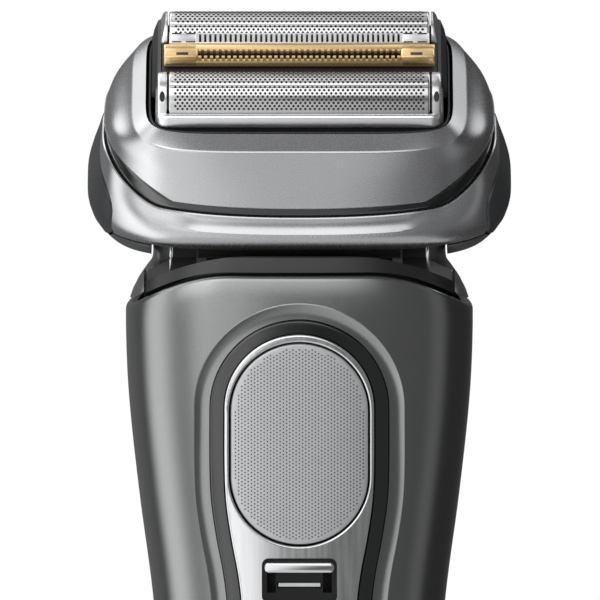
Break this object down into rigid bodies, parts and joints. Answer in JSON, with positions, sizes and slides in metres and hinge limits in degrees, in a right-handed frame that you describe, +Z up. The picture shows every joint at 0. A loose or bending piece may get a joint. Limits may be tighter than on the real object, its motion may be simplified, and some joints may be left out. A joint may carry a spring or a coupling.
{
  "type": "foil electric shaver",
  "caption": "Cordless foil shaver with a tapered handle, a tilting head, a lift-off foil cassette with a gold-coloured trimmer, an oval power button and a rear pop-up trimmer.",
  "frame": {"origin": "centre of the flat foot that the handle stands on", "axes": "+Z up along the handle, -Y is the front with the power button, +X is to the right as seen from the front"},
  "size_m": [0.0668, 0.0395, 0.1602],
  "materials": {
    "satin_metal": "satin silver paint",
    "under_metal": "satin grey paint",
    "gunmetal": "gloss dark grey-green metallic paint",
    "rubber_grip": "matt",
    "plate_metal": "satin",
    "black_gloss": "polished",
    "display_glass": "polished",
    "black_matt": "fine texture",
    "steel": "ground",
    "bright_metal": "bright",
    "gold_trim": "satin",
    "copper": "enamelled wire",
    "board_green": "solder mask",
    "cell_wrap": "shrink film",
    "mark_white": "satin"
  },
  "bodies": {
    "handle": {"front_shell": "gunmetal", "rear_cover": "rubber_grip", "base_cap": "black_matt", "inlet_housing": "black_gloss", "inlet_pin_left": "steel", "inlet_pin_right": "steel", "dock_contact_left": "gold_trim", "dock_contact_right": "gold_trim", "base_gasket": "rubber_grip", "front_bezel": "black_gloss", "front_plate": "plate_metal", "display_window": "display_glass", "lock_tray": "black_gloss", "lock_mark": "mark_white", "shoulder_cap": "black_gloss", "yoke_base": "black_matt", "yoke_post_left": "black_matt", "yoke_post_right": "black_matt", "arm_cover_left": "satin_metal", "arm_cover_right": "satin_metal", "pivot_pin_left": "steel", "pivot_pin_right": "steel", "battery_cell": "cell_wrap", "battery_tab_top": "steel", "battery_tab_bottom": "steel", "circuit_board": "board_green", "tact_switch": "black_matt", "display_module": "black_matt", "lock_switch": "black_matt", "chassis": "black_matt"},
    "power_button": {"power_button": "plate_metal"},
    "head_lock": {"lock_slider": "plate_metal"},
    "rear_trimmer": {"trimmer_carriage": "black_matt", "trimmer_comb": "steel"},
    "rear_trimmer_blade": {"trimmer_blade": "steel"},
    "rear_trimmer_release": {"trimmer_release": "satin_metal"},
    "head": {"upper_housing": "satin_metal", "accent_band": "black_gloss", "lower_housing": "satin_metal", "underside_cover": "under_metal", "head_deck": "black_matt", "motor_stator": "steel", "motor_coil": "copper"},
    "release_left": {"release_button_left": "black_gloss"},
    "release_right": {"release_button_right": "black_gloss"},
    "drive": {"drive_carrier": "black_matt"},
    "cassette": {"cassette_trim": "bright_metal", "cassette_body": "black_matt"},
    "front_foil": {"front_foil": "steel", "front_foil_frame": "satin_metal"},
    "front_cutter": {"front_cutter": "steel"},
    "rear_foil": {"rear_foil": "steel", "rear_foil_frame": "satin_metal"},
    "rear_cutter": {"rear_cutter": "steel"},
    "middle_trimmer": {"middle_carrier": "black_matt", "gold_guard": "gold_trim", "comb_guard": "steel"},
    "middle_blade": {"middle_blade": "steel"}
  },
  "joints": [
    {"name": "head_tilt", "type": "hinge", "parent": "handle", "child": "head", "pos_m": [0, 0, 0.1375], "axis": [1, 0, 0], "range_deg": [-18, 18]},
    {"name": "power_press", "type": "slide", "parent": "handle", "child": "power_button", "axis": [0, 1, 0], "range_m": [0, 0.0006], "stiffness_N_per_m": 900},
    {"name": "head_lock_slide", "type": "slide", "parent": "handle", "child": "head_lock", "axis": [0, 0, -1], "range_m": [0, 0.0032]},
    {"name": "rear_trimmer_slide", "type": "slide", "parent": "handle", "child": "rear_trimmer", "axis": [0, 0, 1], "range_m": [0, 0.008]},
    {"name": "rear_trimmer_stroke", "type": "slide", "parent": "rear_trimmer", "child": "rear_trimmer_blade", "axis": [1, 0, 0], "range_m": [-0.0006, 0.0006]},
    {"name": "rear_trimmer_press", "type": "slide", "parent": "handle", "child": "rear_trimmer_release", "axis": [0, -1, 0], "range_m": [0, 0.0012], "stiffness_N_per_m": 500},
    {"name": "release_left_press", "type": "slide", "parent": "head", "child": "release_left", "axis": [1, 0, 0], "range_m": [0, 0.0012], "stiffness_N_per_m": 500},
    {"name": "release_right_press", "type": "slide", "parent": "head", "child": "release_right", "axis": [-1, 0, 0], "range_m": [0, 0.0012], "stiffness_N_per_m": 500},
    {"name": "drive_stroke", "type": "slide", "parent": "head", "child": "drive", "axis": [1, 0, 0], "range_m": [-0.001, 0.001], "stiffness_N_per_m": 300},
    {"name": "cassette_lift", "type": "slide", "parent": "head", "child": "cassette", "axis": [0, -0.4848, 0.8746], "range_m": [0, 0.02]},
    {"name": "front_foil_float", "type": "slide", "parent": "cassette", "child": "front_foil", "axis": [0, 0.4848, -0.8746], "range_m": [0, 0.002], "stiffness_N_per_m": 400},
    {"name": "rear_foil_float", "type": "slide", "parent": "cassette", "child": "rear_foil", "axis": [0, 0.4848, -0.8746], "range_m": [0, 0.002], "stiffness_N_per_m": 400},
    {"name": "middle_float", "type": "slide", "parent": "cassette", "child": "middle_trimmer", "axis": [0, 0.4848, -0.8746], "range_m": [0, 0.0015], "stiffness_N_per_m": 400},
    {"name": "front_cutter_stroke", "type": "slide", "parent": "front_foil", "child": "front_cutter", "axis": [1, 0, 0], "range_m": [-0.001, 0.001]},
    {"name": "rear_cutter_stroke", "type": "slide", "parent": "rear_foil", "child": "rear_cutter", "axis": [1, 0, 0], "range_m": [-0.001, 0.001]},
    {"name": "middle_blade_stroke", "type": "slide", "parent": "middle_trimmer", "child": "middle_blade", "axis": [1, 0, 0], "range_m": [-0.001, 0.001]}
  ],
  "couplings": [
    {"joint": "front_cutter_stroke", "follows": "drive_stroke", "ratio": 1},
    {"joint": "rear_cutter_stroke", "follows": "drive_stroke", "ratio": 1},
    {"joint": "middle_blade_stroke", "follows": "drive_stroke", "ratio": 1},
    {"joint": "rear_trimmer_stroke", "follows": "drive_stroke", "ratio": 0.6}
  ]
}
